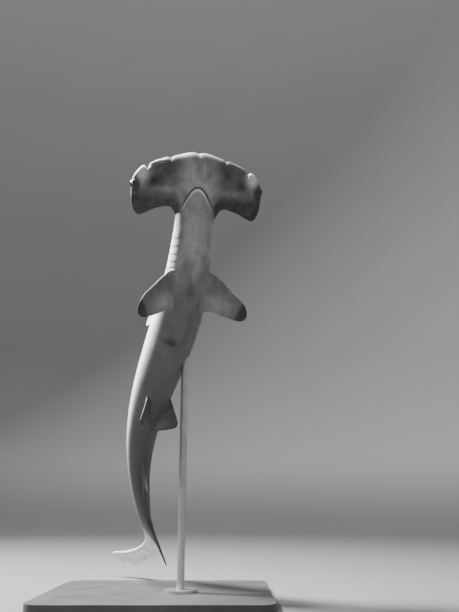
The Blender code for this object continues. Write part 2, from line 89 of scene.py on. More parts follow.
# How finely the body is divided: where a run of sections starts and ends, and how many it has
BODY_RUNS = (
    (0.020, 0.136, 100),
    (0.136, 0.216, 280),
    (0.216, 0.940, 560),
    (0.940, 0.990, 80),
)
TAIL_TIP_LENGTH = 0.01
TAIL_TIP_SECTIONS = 30
BODY_SIDES = 176

# How each join is rounded off, in metres: its reach on both sides, and the rounds of smoothing
HAMMER_SEAM = (0.030, 60)
FIN_SEAM = (0.014, 30)
BROW_SEAM = (0.010, 24)
LID_SEAM = (0.004, 10)
SEAM_LEVELS = 20

# Gill slits: places, how far a flap stands up, how deep a slit is, and where round the flank they lie
GILL_SLITS = (0.156, 0.171, 0.186, 0.200, 0.212)
GILL_START = 0.138
FLAP_RISE = 0.0009
SLIT_DEPTH = 0.0009
SLIT_WIDTH = 0.0009
FLAP_OVERLAP = 0.0010
GILL_MIDDLE = 110
GILL_HALF = 30
GILL_BOW = 0.0030
FLAP_CURVE = 1.5
FLAP_TUCK = 10
SLIT_FADE = 1.5
# How dark the painted shade in a gill slit is
GILL_PAINTED_SHADE = 0.15

# The hammer: place along a wing, how far the margin lies behind the snout
WING_FRONT = (
    (0.000, -0.0022),
    (0.011, -0.0018),
    (0.042, 0.0070),
    (0.062, 0.0125),
    (0.082, 0.0204),
    (0.092, 0.0265),
    (0.103, 0.0312),
    (0.110, 0.0392),
    (0.115, 0.0470),
    (0.118, 0.0550),
    (0.120, 0.0640),
)
WING_REAR = (
    (0.000, 0.1200),
    (0.034, 0.1200),
    (0.038, 0.1130),
    (0.043, 0.1030),
    (0.051, 0.0985),
    (0.064, 0.1000),
    (0.080, 0.1056),
    (0.094, 0.1130),
    (0.105, 0.1160),
    (0.111, 0.1120),
    (0.115, 0.1040),
    (0.118, 0.0920),
    (0.120, 0.0760),
)
WING_THICKNESS = (
    (0.000, 0.0400),
    (0.030, 0.0380),
    (0.060, 0.0290),
    (0.090, 0.0240),
    (0.106, 0.0205),
    (0.114, 0.0150),
    (0.118, 0.0105),
    (0.120, 0.0050),
)
# Dents in the front margin: place along a wing, depth, half the width
DENTS = ((0.000, 0.0022, 0.0050), (0.050, 0.0024, 0.0036), (0.0915, 0.0075, 0.0030))
WING_DROOP = 0.004
WING_REACH = 0.120
# How far the hammer is cut back to stay in the solids' box: at the snout, how wide, and in thickness
SNOUT_TRIM = 0.0014
SNOUT_TRIM_REACH = 0.030
WING_SLIMMING = 0.965
WING_EDGE = 0.10
WING_TIP_ROUND = (0.1185, 0.12002)
HAMMER_SECTIONS = 401
HAMMER_CHORDS = 110
# Painted shade under the hammer, round the eyes and by the mouth's corners, with painted light where the
# strength is below 0: aside, behind the snout, reach each way, how much darker or, below 0, paler
HAMMER_PAINTED_LIGHT_AND_SHADE = (
    (0.0560, 0.0360, 0.0190, 0.0170, 0.14),
    (0.0800, 0.0545, 0.0110, 0.0110, 0.34),
    (0.1000, 0.0400, 0.0105, 0.0135, -0.95),
    (0.1010, 0.0640, 0.0050, 0.0120, -0.25),
    (0.0620, 0.0680, 0.0240, 0.0060, -0.30),
    (0.0370, 0.1010, 0.0060, 0.0130, 0.40),
    (0.1145, 0.0615, 0.0070, 0.0085, 2.50),
)
# Dark blotches under the trunk, with painted shade along the neck's edges in the rows at places 0.155 to
# 0.195: place along it, aside, reach each way, how much darker
BELLY_BLOTCHES_AND_SHADE = (
    (0.250, 0.002, 0.014, 0.013, 0.50),
    (0.238, 0.004, 0.009, 0.008, 0.25),
    (0.344, -0.014, 0.007, 0.009, 0.90),
    (0.348, -0.008, 0.004, 0.012, 0.50),
    (0.335, 0.010, 0.010, 0.006, 0.50),
    (0.300, 0.012, 0.016, 0.005, 0.40),
    (0.190, 0.020, 0.016, 0.007, 0.45),
    (0.155, 0.026, 0.030, 0.007, 0.30),
    (0.155, -0.026, 0.030, 0.007, 0.30),
    (0.195, -0.014, 0.022, 0.007, 0.30),
)

# Painted light on the lobes before the eyes, laid out in the same way
LOBE_PAINTED_LIGHT = ((0.1010, 0.0400, 0.0100, 0.0130, 1.3),)
# Where the hammer's underside darkens towards its wings, partly its own dusky colour and partly painted
# shade
HAMMER_STAIN_AND_SHADE_RANGE = (0.014, 0.048)

# Mouth, nostrils and eyes, in the head's frame: to the side, and behind the snout
MOUTH_FRONT = 0.0617
MOUTH_CORNER = 0.0985
MOUTH_HALF = 0.0270
NOSTRIL = ((0.0850, 0.0288), (0.0880, 0.0320), (0.0915, 0.0348), (0.0950, 0.0352))
NOSTRIL_GROOVE = ((0.058, 0.0185), (0.068, 0.0205), (0.078, 0.0242), (0.0855, 0.0290))
MOUTH_FURROW = ((0.0275, 0.0990), (0.0300, 0.0955), (0.0305, 0.0905))
LIP_MARGIN = 0.0029
FOLD_MARGIN = 0.0070
EYE_PLACE = (0.1130, 0.0625)
EYE_BELOW = 0.0012
EYE_RADIUS = 0.0088
LID_RING = 0.0078
LID_RADIUS = 0.0015
# The swelling round an eye, in metres: its radii ahead, up and outward, and how far inward it lies
BROW_RADII = (0.0270, 0.0245, 0.0170)
BROW_INWARD = 0.0020
LID_BULGE = 0.0080
SOCKET_GAP = 0.0003

# Strokes on the head's skin, in metres: half the width, and the depth, which is below 0 on a ridge
FOLD_STROKE = (0.0040, 0.0012)
CHIN_STROKE = (0.0050, 0.0012)
UPPER_LIP_STROKE = (0.0036, -0.0024)
LOWER_LIP_STROKE = (0.0046, -0.0050)
MOUTH_STROKE = (0.0028, 0.0150)
FURROW_STROKE = (0.0012, 0.0040)
GROOVE_STROKE = (0.0035, 0.0014)
NOSTRIL_RIM_STROKE = (0.0070, -0.0030)
NOSTRIL_STROKE = (0.0020, 0.0110)
MOUTH_SLANT = 0.35
PATH_POINTS = 160
RAY_START = -0.2
# Finer faces round the mouth and nostrils: how far round them, the longest edge, rounds of splitting
FINE_REACH = 0.012
FINE_EDGE = 0.0009
FINE_ROUNDS = 3

# Fins: how far out from the body, then the front and the rear margin at that height
FIRST_DORSAL = (
    (-0.020, 0.006, 0.085),
    (0.000, 0.000, 0.090),
    (0.008, 0.006, 0.128),
    (0.022, 0.017, 0.107),
    (0.045, 0.036, 0.093),
    (0.072, 0.058, 0.092),
    (0.100, 0.077, 0.103),
    (0.120, 0.089, 0.113),
    (0.130, 0.098, 0.114),
)
SECOND_DORSAL = (
    (-0.008, 0.004, 0.034),
    (0.000, 0.000, 0.036),
    (0.004, 0.004, 0.084),
    (0.010, 0.010, 0.062),
    (0.017, 0.018, 0.048),
    (0.024, 0.028, 0.044),
)
ANAL_FIN = (
    (-0.008, 0.006, 0.048),
    (0.000, 0.000, 0.050),
    (0.005, 0.004, 0.086),
    (0.012, 0.011, 0.062),
    (0.021, 0.021, 0.052),
    (0.030, 0.033, 0.053),
    (0.035, 0.042, 0.053),
)
LOWER_LOBE = (
    (-0.010, 0.002, 0.050),
    (0.000, 0.000, 0.054),
    (0.012, 0.015, 0.052),
    (0.026, 0.034, 0.058),
    (0.040, 0.054, 0.069),
    (0.050, 0.069, 0.077),
    (0.054, 0.076, 0.080),
)
PECTORAL = (
    (-0.016, 0.004, 0.054),
    (0.000, 0.000, 0.062),
    (0.009, 0.000, 0.085),
    (0.020, 0.003, 0.0770),
    (0.034, 0.0065, 0.0664),
    (0.050, 0.0120, 0.0640),
    (0.066, 0.0170, 0.0629),
    (0.082, 0.0232, 0.0610),
    (0.095, 0.0318, 0.0580),
    (0.1035, 0.0410, 0.0530),
)
PELVIC = (
    (-0.010, 0.006, 0.042),
    (0.000, 0.000, 0.045),
    (0.009, 0.005, 0.071),
    (0.020, 0.0135, 0.0610),
    (0.033, 0.0225, 0.0495),
    (0.0425, 0.0305, 0.0390),
)
# Fins on the middle line: name, outline, start of the base, up 1 or down -1, thickness, dark tip, painted
# shade
MEDIAN_FINS = (
    ("first_dorsal", FIRST_DORSAL, 0.256, 1, 0.0105, 0.6, 0.0),
    ("second_dorsal", SECOND_DORSAL, 0.605, 1, 0.0045, 0.9, 0.0),
    ("anal", ANAL_FIN, 0.588, -1, 0.0050, 0.6, 0.15),
)
# Fins of a pair: name, outline, start of the base, degrees from the back at the base's two ends,
# droop, sweep, left 1 or right -1, thickness, dark tip, painted shade
PAIRED_FINS = (
    ("pectoral_left", PECTORAL, 0.208, (125, 145), 36, 13, 1, 0.0105, 1.0, 0.50),
    ("pectoral_right", PECTORAL, 0.213, (130, 146), 29, 23, -1, 0.0105, 1.0, 0.55),
    ("pelvic_left", PELVIC, 0.455, (138, 168), 40, 1, 1, 0.0065, 0.9, 0.50),
    ("pelvic_right", PELVIC, 0.455, (150, 170), 50, 4, -1, 0.0065, 0.9, 0.45),
)
# The tail's lower lobe: its place, how far aft of the stem's end it starts, thickness, dark tip, painted
# shade
LOBE_PLACE = 0.725
LOBE_SETBACK = 0.004
LOBE_THICKNESS = 0.0080
LOBE_TIPPED = 1.0
LOBE_PAINTED_SHADE = 0.55
# Every fin: its edge, its sections, how its tip rounds, its root swells and its thickness falls
FIN_EDGE = 0.0004
FIN_ROWS = 72
ROOT_ROWS = 5
ROW_CROWDING = 1.6
FIN_CHORDS = 28
FIN_TIP_ROUND = (0.955, 1.0008)
ROOT_FLARE = 0.7
ROOT_FLARE_REACH = 0.006
FIN_THINNING = 0.75
# The paler middle of a fin's painted shade: its middle and reach along the chord, then up the fin, and its
# share
PALE_MIDDLE = (0.70, 0.28, 0.42, 0.26)
PALE_MIDDLE_SHARE = 0.95
FIN_SHADE_START = 0.25

# What each point of the skin knows: its place along the body, the cosine of its angle from the back,
# how near a fin's tip it is, its share of a fin's chord, its painted shade in slits and grooves, and its
# stain and painted shade
FACTS = ("place", "girth", "tip", "ray", "dark", "stain")
# How much of a point's shade comes from its place round the body, and the rest from where it faces
GIRTH_SHARE = 0.45

# Where along the body its paint changes
HEAD_RANGE = (0.112, 0.135)
THROAT_HIGHLIGHT_RANGES = ((0.115, 0.135), (0.185, 0.205))
BELLY_SHADE_RANGE = (0.17, 0.30)
TRUNK_RANGE = (0.20, 0.28)
AFT_SHADE_RANGE = (0.26, 0.58)
STERN_RANGE = (0.48, 0.66)
TAIL_LIGHT_RANGE = (0.745, 0.830)

# Colours of the skin and the eyes. The flank and tail colours are painted light; the belly's dark colour and
# the one behind the pectoral fins are painted shade
BELLY_PALE = (0.46, 0.455, 0.445)
BELLY_GREY = (0.37, 0.366, 0.358)
BELLY_PAINTED_SHADE = (0.045, 0.045, 0.045)
FLANK_PAINTED_LIGHT = (0.86, 0.85, 0.83)
STREAK_GREY = (0.16, 0.16, 0.16)
AFT_PAINTED_SHADE = (0.050, 0.050, 0.050)
TAIL_PAINTED_LIGHT = (0.92, 0.91, 0.89)
TAIL_PAINTED_LIGHT_GREY = (0.72, 0.71, 0.70)
DUSK_PALE = (0.062, 0.061, 0.058)
DUSK_DARK = (0.040, 0.041, 0.042)
STAIN_AND_SHADE_DARK = (0.018, 0.018, 0.018)
PAINTED_LIGHT_PALE = (0.90, 0.89, 0.87)
TIP_BLACK = (0.020, 0.020, 0.021)
SPECKLE_DARK = (0.06, 0.06, 0.06)
GRAIN_PALE = (0.62, 0.62, 0.60)
SLIT_PAINTED_SHADE = (0.010, 0.009, 0.009)
IRIS_DARK = (0.010, 0.009, 0.007)
IRIS_BROWN = (0.030, 0.026, 0.020)
PUPIL_BLACK = (0.004, 0.004, 0.004)
EYE_RIM = (0.02, 0.02, 0.02)

# The studio: a bowl, its lamps and the camera. A lamp has a name, a place, a point that it lights, a
# size, a power in watts and a spread in degrees
FLOOR_RINGS = (2.0, 4.0, 6.0)
WALL_CURVE = 3.0
WALL_HEIGHT = 14.0
CURVE_STEPS = 16
STAGE_SIDES = 96
LAMPS = (
    ("key_light", (-2.9, 0.9, 4.2), (0.0, 0.1, 1.2), 0.9, 1650, 180),
    ("top_light", (-0.8, -0.2, 4.8), (0.1, -0.2, 1.4), 0.6, 140, 80),
    ("sky_panel", (0.0, 0.0, 13.0), (0.0, 0.001, 0.0), 17.0, 1050, 180),
)
CAMERA_PLACE = (0.29, -2.90, 0.38)
CAMERA_TILT = 107
CAMERA_LENS = 38.0
CAMERA_SENSOR = 36.0


def between(rows, column, place):
    """The column's value at each place, on a smooth curve through the rows."""
    table = np.array(rows, float)
    stops = table[:, 0]
    values = table[:, column]
    place = np.clip(np.asarray(place, float), stops[0], stops[-1])
    step = np.diff(stops)
    rise = np.diff(values) / step
    slope = np.concatenate((rise[:1], np.zeros(len(rise) - 1), rise[-1:]))
    slope[1:-1] = (rise[:-1] * step[1:] + rise[1:] * step[:-1]) / (step[1:] + step[:-1])
    index = np.clip(np.searchsorted(stops, place, side="right") - 1, 0, len(step) - 1)
    width = step[index]
    t = (place - stops[index]) / width
    start = (1 + 2 * t) * (1 - t) ** 2 * values[index] + t * (1 - t) ** 2 * width * slope[index]
    end = t * t * (3 - 2 * t) * values[index + 1] + t * t * (t - 1) * width * slope[index + 1]
    return start + end


def unit(vector):
    return vector / np.linalg.norm(vector, axis=-1, keepdims=True)


def ease(value, low, high):
    """From 0 at low to 1 at high, with soft ends."""
    share = np.clip((value - low) / (high - low), 0.0, 1.0)
    return share * share * (3 - 2 * share)


def rounded(value, start, end):
    """1 up to start, then down to 0 at end along a quarter circle."""
    share = np.clip((value - start) / (end - start), 0.0, 1.0)
    return np.sqrt(1 - share ** 2)


def headings(place):
    """Unit vectors towards the head, to the shark's left and to its back, at a place."""
    lean, sway, roll = (np.radians(between(POSE, column, place)) for column in (1, 2, 3))
    ahead = np.stack((np.sin(sway), -np.cos(sway) * np.sin(lean), np.cos(sway) * np.cos(lean)), -1)
    level = unit(np.array((1.0, 0.0, 0.0)) - ahead[..., :1] * ahead)
    rear = np.cross(ahead, level)
    turn_cos = np.cos(roll)[..., None]
    turn_sin = np.sin(roll)[..., None]
    return ahead, turn_cos * level + turn_sin * rear, turn_cos * rear - turn_sin * level


AXIS_PLACES = np.linspace(0.0, 1.0, 801)
AXIS_STEPS = headings((AXIS_PLACES[1:] + AXIS_PLACES[:-1]) / 2)[0] * np.diff(AXIS_PLACES)[:, None]
AXIS_POINTS = np.array(SNOUT) - LENGTH * np.vstack((np.zeros(3), np.cumsum(AXIS_STEPS, 0)))
HEAD_AHEAD, HEAD_LEFT, HEAD_BACK = headings(HEAD_PLACE)


def axis_point(place):
    return np.stack([np.interp(place, AXIS_PLACES, AXIS_POINTS[:, k]) for k in range(3)], -1)


def gill_relief(place, degrees):
    """At a place and an angle from the back: the skin's lift, its shift towards the tail, and the
    painted shade inside a slit."""
    turn = (np.abs(degrees) - GILL_MIDDLE) / GILL_HALF
    across = np.clip(1 - turn ** 2, 0.0, 1.0) ** 0.5
    bowed = place + GILL_BOW * turn ** 2
    lift = np.zeros(np.broadcast(place, degrees).shape)
    shift = np.zeros_like(lift)
    dark = np.zeros_like(lift)
    start = GILL_START
    for slit in GILL_SLITS:
        along = (bowed - start) / (slit - start)
        here = (along >= 0) & (along < 1)
        along = np.clip(along, 0.0, 1.0)
        lift = lift + here * FLAP_RISE * along ** FLAP_CURVE * across
        shift = shift + here * FLAP_OVERLAP * along ** FLAP_TUCK * across
        inside = np.clip(bowed - slit, 0.0, None)
        open_slit = (bowed >= slit) * across * np.exp(-(inside / SLIT_WIDTH) ** SLIT_FADE)
        lift = lift - SLIT_DEPTH * open_slit
        dark = np.maximum(dark, open_slit)
        start = slit
    return lift, shift, dark


def body_surface(place, degrees):
    """Points of the body's skin, at degrees from the back round the left flank."""
    ahead, left, back = headings(place)
    half, above, below, fuller = (between(BODY, column, place) for column in (1, 2, 3, 4))
    turn = np.radians(degrees)
    rise = np.cos(turn)
    side = np.sin(turn) * (1 + fuller * rise)
    lift, shift, _ = gill_relief(place, np.degrees(np.arctan2(np.sin(turn), rise)))
    close = rounded(place, TAIL_TIP_ROUND, 1.0)
    outward = side * (half * close + lift)
    upward = rise * (np.where(rise > 0, above, below) * close + lift)
    offset = left * outward[..., None] + back * upward[..., None] - ahead * shift[..., None]
    return axis_point(place) + LENGTH * offset


def loft(name, rings, **facts):
    """A closed object through the rings of points, with facts held at its points."""
    count, sides = rings.shape[:2]
    index = np.arange(count * sides).reshape(count, sides)
    near, far = index[:-1], index[1:]
    quads = np.stack((near, np.roll(near, -1, 1), np.roll(far, -1, 1), far), -1).reshape(-1, 4)
    caps = [index[0, ::-1].tolist(), index[-1].tolist()]
    middle = rings.reshape(-1, 3).mean(0)
    corners = rings.reshape(-1, 3)[quads] - middle
    volume = np.einsum("ij,ij->i", corners[:, 0], np.cross(corners[:, 1], corners[:, 2])).sum()
    faces = quads.tolist() + caps
    if volume < 0:
        faces = [face[::-1] for face in faces]
    data = bpy.data.meshes.new(name)
    data.from_pydata(rings.reshape(-1, 3).tolist(), [], faces)
    data.shade_smooth()
    item = bpy.data.objects.new(name, data)
    bpy.context.scene.collection.objects.link(item)
    for fact in FACTS:
        values = np.broadcast_to(facts.get(fact, 0.0), (count, sides)).ravel()
        keep_fact(item, fact, values)
    keep_fact(item, "old", np.ones(count * sides))
    return item


def keep_fact(item, name, values):
    layer = item.data.attributes.get(name) or item.data.attributes.new(name, "FLOAT", "POINT")
    layer.data.foreach_set("value", np.asarray(values, np.float32))


def fact_of(item, name):
    values = np.zeros(len(item.data.vertices), np.float32)
    item.data.attributes[name].data.foreach_get("value", values)
    return values.astype(float)


def points_of(item):
    points = np.zeros(len(item.data.vertices) * 3, np.float32)
    item.data.vertices.foreach_get("co", points)
    return points.reshape(-1, 3).astype(float)


def move_points(item, points):
    item.data.vertices.foreach_set("co", points.astype(np.float32).ravel())
    item.data.update()


def settle(item):
    """Apply the item's modifiers."""
    bpy.context.view_layer.update()
    graph = bpy.context.evaluated_depsgraph_get()
    result = bpy.data.meshes.new_from_object(
        item.evaluated_get(graph), preserve_all_data_layers=True, depsgraph=graph)
    item.modifiers.clear()
    spent = item.data
    item.data = result
    bpy.data.meshes.remove(spent)


def combine(item, other, operation):
    """Join the other to the item or cut it away, then drop the other."""
    step = item.modifiers.new(operation.lower(), "BOOLEAN")
    step.operation = operation
    step.solver = "MANIFOLD"
    step.object = other
    settle(item)
    bpy.data.objects.remove(other)


def mend_facts(item, fresh):
    """Give each fresh point of a seam the mean facts of its older neighbours."""
    ends = np.zeros(len(item.data.edges) * 2, np.int32)
    item.data.edges.foreach_get("vertices", ends)
    first, second = ends.reshape(-1, 2).T
    for fact in FACTS:
        values = fact_of(item, fact)
        total = np.zeros(len(values))
        count = np.zeros(len(values))
        for here, there in ((first, second), (second, first)):
            np.add.at(total, here, values[there] * ~fresh[there])
            np.add.at(count, here, ~fresh[there])
        values[fresh] = (total / np.maximum(count, 1))[fresh]
        keep_fact(item, fact, values)


def seam_weights(points, fresh, reach):
    """From 1 at the fresh points to 0 at the reach."""
    seam = KDTree(int(fresh.sum()))
    for index, point in enumerate(points[fresh]):
        seam.insert(point, index)
    seam.balance()
    low = points[fresh].min(0) - reach
    high = points[fresh].max(0) + reach
    weights = np.zeros(len(points))
    for index in np.flatnonzero(((points > low) & (points < high)).all(1)):
        weights[index] = 1 - min(seam.find(points[index])[2] / reach, 1.0)
    return ease(weights, 0.0, 0.8)


def fair(item, reach, rounds):
    """Round off the seam of the last join over a reach on both sides, and mend its facts."""
    fresh = fact_of(item, "old") < 0.5
    mend_facts(item, fresh)
    weights = seam_weights(points_of(item), fresh, reach)
    group = item.vertex_groups.new(name="seam")
    for level in range(1, SEAM_LEVELS + 1):
        chosen = np.flatnonzero(np.round(weights * SEAM_LEVELS) == level)
        if len(chosen):
            group.add(chosen.tolist(), level / SEAM_LEVELS, "REPLACE")
    step = item.modifiers.new("fair", "SMOOTH")
    step.factor = 0.5
    step.iterations = rounds
    step.vertex_group = "seam"
    settle(item)
    item.vertex_groups.clear()
    keep_fact(item, "old", np.ones(len(item.data.vertices)))


def foil_share(chord):
    """Half the thickness of a fin's section, as a share of the whole, at a share of its chord."""
    bulge = 2.969 * np.sqrt(chord) - 1.26 * chord - 3.516 * chord ** 2
    return bulge + 2.843 * chord ** 3 - 1.036 * chord ** 4


def foil_rings(front, rear, normal, thickness, edge, steps):
    """Sections from the front margins over one face to the rear margins and back."""
    chord = (1 - np.cos(np.pi * np.arange(1, steps + 1) / steps)) / 2
    middle = front[:, None] + (rear - front)[:, None] * chord[None, :, None]
    half = thickness[:, None] * foil_share(chord) / 2 + edge[:, None] * chord
    rise = normal * half[..., None]
    rings = np.concatenate((front[:, None], middle + rise, (middle - rise)[:, ::-1]), 1)
    rays = np.concatenate(([0.0], chord, chord[::-1]))
    return rings, np.broadcast_to(rays, rings.shape[:2])


def closing(front, rear, close):
    """Both margins, drawn together to their middle as close falls to 0."""
    middle = (front + rear) / 2
    return middle + (front - middle) * close, middle + (rear - middle) * close


def fin(name, rows, origin, outward, backward, thickness, place, girth, tipped, stain):
    """A tapering fin that stands out from the origin, with its base sunk in the body."""
    height = rows[-1][0]
    out = np.concatenate((
        np.linspace(rows[0][0], 0.0, ROOT_ROWS)[:-1],
        height * (1 - (1 - np.linspace(0.0, 1.0, FIN_ROWS)) ** ROW_CROWDING)))
    close = rounded(out, height * FIN_TIP_ROUND[0], height * FIN_TIP_ROUND[1])
    lead, trail = closing(between(rows, 1, out), between(rows, 2, out), close)
    front = origin + LENGTH * (out[:, None] * outward + lead[:, None] * backward)
    rear = origin + LENGTH * (out[:, None] * outward + trail[:, None] * backward)
    above = np.clip(out, 0.0, None)
    flare = 1 + ROOT_FLARE * np.exp(-above / ROOT_FLARE_REACH)
    thick = LENGTH * thickness * (1 - FIN_THINNING * above / height) * flare * close
    edge = LENGTH * FIN_EDGE * (0.3 + 0.7 * close)
    rings, rays = foil_rings(front, rear, np.cross(outward, backward), thick, edge, FIN_CHORDS)
    share = out[:, None] / height
    ray_middle, ray_reach, share_middle, share_reach = PALE_MIDDLE
    paler = np.exp(-((rays - ray_middle) / ray_reach) ** 2 - ((share - share_middle) / share_reach) ** 2)
    # Painted shade on the fin's underside, lighter in its middle and faded in from the root
    stains = stain * (1 - PALE_MIDDLE_SHARE * paler) * ease(share, 0.0, FIN_SHADE_START)
    tips = tipped * np.clip(share, 0.0, 1.0)
    return loft(name, rings, place=place, girth=girth, tip=tips, ray=rays, stain=stains)


def at_right_angles(direction, to):
    return unit(direction - np.dot(direction, to) * to)


def surface_point(place, angle):
    return body_surface(np.array([place]), np.array([float(angle)]))[0]


def median_fin(name, rows, start, upward, thickness, *looks):
    """A fin on the middle line of the back, or of the belly where upward is -1."""
    end = start + rows[1][2]
    _, left, back = headings((start + end) / 2)
    angle = 0 if upward > 0 else 180
    first = surface_point(start, angle)
    backward = unit(surface_point(end, angle) - first)
    outward = at_right_angles(at_right_angles(back * upward, backward), left)
    return fin(name, rows, first, outward, backward, thickness, (start + end) / 2, upward, *looks)


def paired_fin(name, rows, start, angles, droop, sweep, side, thickness, *looks):
    """A fin of a pair: side is 1 for the shark's left and -1 for its right."""
    end = start + rows[1][2]
    _, left, back = headings((start + end) / 2)
    first = surface_point(start, side * angles[0])
    backward = unit(surface_point(end, side * angles[1]) - first)
    drop = math.radians(droop)
    outward = at_right_angles(left * side * math.cos(drop) - back * math.sin(drop), backward)
    turn = math.radians(sweep)
    swept_out = outward * math.cos(turn) + backward * math.sin(turn)
    swept_back = backward * math.cos(turn) - outward * math.sin(turn)
    girth = math.cos(math.radians(sum(angles) / 2))
    middle = (start + end) / 2
    return fin(name, rows, first, swept_out, swept_back, thickness, middle, girth, *looks)


def head_point(aside, behind, above=0.0):
    """A point in the head's own frame: to the shark's left, behind the snout and above the axis."""
    aside, behind, above = (np.asarray(value, float)[..., None] for value in (aside, behind, above))
    middle = axis_point(HEAD_PLACE)
    return middle + LENGTH * (HEAD_LEFT * aside + HEAD_AHEAD * (HEAD_PLACE - behind) + HEAD_BACK * above)


def head_frame(points):
    """The places of points in the head's frame, as asides, places behind the snout and heights."""
    offset = (points - axis_point(HEAD_PLACE)) / LENGTH
    return offset @ HEAD_LEFT, HEAD_PLACE - offset @ HEAD_AHEAD, offset @ HEAD_BACK


def make_hammer():
    """The hammer, drawn from wing tip to wing tip."""
    aside = WING_REACH * np.sin(np.linspace(-1.0, 1.0, HAMMER_SECTIONS) * math.pi / 2)
    reach = np.abs(aside)
    front = between(WING_FRONT, 1, reach)
    for place, depth, half_width in DENTS:
        front = front + depth * np.exp(-((reach - place) / half_width) ** 2)
    front = front + SNOUT_TRIM * np.exp(-(reach / SNOUT_TRIM_REACH) ** 2)
    close = rounded(reach, *WING_TIP_ROUND)
    front, rear = closing(front, between(WING_REAR, 1, reach), close)
    above = -WING_DROOP * (reach / WING_REACH) ** 2
    thick = LENGTH * WING_SLIMMING * between(WING_THICKNESS, 1, reach) * close
    rings, _ = foil_rings(
        head_point(aside, front, above), head_point(aside, rear, above), HEAD_BACK,
        thick, thick * WING_EDGE, HAMMER_CHORDS)
    return loft("hammer", rings, place=HEAD_PLACE)


def make_body():
    """The trunk and the tail's upper lobe, with the gills."""
    runs = [np.linspace(start, end, count, endpoint=False) for start, end, count in BODY_RUNS]
    tip = 1 - TAIL_TIP_LENGTH * (1 - np.linspace(0.0, 1.0, TAIL_TIP_SECTIONS)) ** 2
    turns = np.linspace(0.0, 360.0, BODY_SIDES, endpoint=False)
    place, angle = np.meshgrid(np.concatenate((*runs, tip)), turns, indexing="ij")
    dark = gill_relief(place, (angle + 180) % 360 - 180)[2] * GILL_PAINTED_SHADE
    girth = np.cos(np.radians(angle))
    return loft("shark_skin", body_surface(place, angle), place=place, girth=girth, dark=dark)


def make_fins():
    """All the fins but the tail's upper lobe, as one object of separate closed forms."""
    ahead, _, back = headings(LOBE_PLACE)
    lobe_base = surface_point(STEM_END + LOBE_SETBACK, 180)
    fins = [median_fin(*row) for row in MEDIAN_FINS]
    fins.append(fin("lower_lobe", LOWER_LOBE, lobe_base, -back, -ahead, LOBE_THICKNESS, LOBE_PLACE,
                    -1.0, LOBE_TIPPED, LOBE_PAINTED_SHADE))
    fins += [paired_fin(*row) for row in PAIRED_FINS]
    with bpy.context.temp_override(active_object=fins[0], selected_editable_objects=fins):
        bpy.ops.object.join()
    return fins[0]


def blob(name, middle, axes, radii, segments, rings):
    """An ellipsoid with its radii along the three axes."""
    mesh = bmesh.new()
    bmesh.ops.create_uvsphere(mesh, u_segments=segments, v_segments=rings, radius=1.0)
    turn = Matrix([[axes[c][r] * radii[c] for c in range(3)] for r in range(3)]).to_4x4()
    turn.translation = Vector(middle)
    bmesh.ops.transform(mesh, matrix=turn, verts=mesh.verts)
    bmesh.ops.recalc_face_normals(mesh, faces=mesh.faces)
    data = bpy.data.meshes.new(name)
    mesh.to_mesh(data)
    mesh.free()
    data.shade_smooth()
    item = bpy.data.objects.new(name, data)
    bpy.context.scene.collection.objects.link(item)
    for fact in FACTS:
        keep_fact(item, fact, np.full(len(data.vertices), HEAD_PLACE if fact == "place" else 0.0))
    keep_fact(item, "old", np.ones(len(data.vertices)))
    return item


def eye_middle(side):
    above = -WING_DROOP * (EYE_PLACE[0] / WING_REACH) ** 2 - EYE_BELOW
    return head_point(side * EYE_PLACE[0], EYE_PLACE[1], above)


def add_lids(skin, side):
    """The swelling of skin that holds an eye, and the thick rims round its opening."""
    axes = (HEAD_AHEAD, HEAD_BACK, HEAD_LEFT)
    middle = eye_middle(side)
    outward = HEAD_LEFT * side
    combine(skin, blob("brow", middle - outward * BROW_INWARD, axes, BROW_RADII, 128, 96), "UNION")
    fair(skin, *BROW_SEAM)
    out = math.sqrt(EYE_RADIUS ** 2 - LID_RING ** 2)
    radius = LENGTH * (LID_RING + LID_RADIUS)
    rim = blob("lids", middle + outward * LENGTH * out * 0.8, axes, (radius, radius, LID_BULGE), 128, 64)
    combine(skin, rim, "UNION")
    fair(skin, *LID_SEAM)


def refine(skin, paths, reach, longest):
    """Split the edges that lie within reach of the paths until none there is longer."""
    for _ in range(FINE_ROUNDS):
        points = points_of(skin)
        near = np.zeros(len(points), bool)
        for path in paths:
            near |= nearest(points, path, reach)[0] < reach
        mesh = bmesh.new()
        mesh.from_mesh(skin.data)
        edges = [edge for edge in mesh.edges
                 if near[edge.verts[0].index] and near[edge.verts[1].index] and edge.calc_length() > longest]
        if not edges:
            mesh.free()
            break
        bmesh.ops.subdivide_edges(mesh, edges=edges, cuts=1, use_grid_fill=True)
        bmesh.ops.triangulate(mesh, faces=[face for face in mesh.faces if len(face.verts) > 4])
        mesh.to_mesh(skin.data)
        mesh.free()


def nearest(points, path, reach):
    """For each point: its distance from the path, and how far along the path that is, from 0 to 1."""
    distance = np.full(len(points), np.inf)
    along = np.zeros(len(points))
    box = ((points > path.min(0) - reach) & (points < path.max(0) + reach)).all(1)
    chosen = np.flatnonzero(box)
    for start in range(0, len(chosen), 4000):
        part = chosen[start:start + 4000]
        gaps = np.linalg.norm(points[part][:, None] - path[None], axis=2)
        best = gaps.argmin(1)
        distance[part] = gaps[np.arange(len(part)), best]
        along[part] = best / (len(path) - 1)
    return distance, along


def on_skin(tree, asides, behinds):
    """A fine path over the head's skin, seen from below, through places of its frame."""
    steps = np.linspace(0.0, 1.0, len(asides))
    fine = np.linspace(0.0, 1.0, PATH_POINTS)
    path = []
    for aside, behind in zip(smooth_curve(steps, asides, fine), smooth_curve(steps, behinds, fine)):
        hit = tree.ray_cast(Vector(head_point(aside, behind, RAY_START)), Vector(HEAD_BACK))[0]
        if hit:
            path.append(np.array(hit))
    return np.array(path)


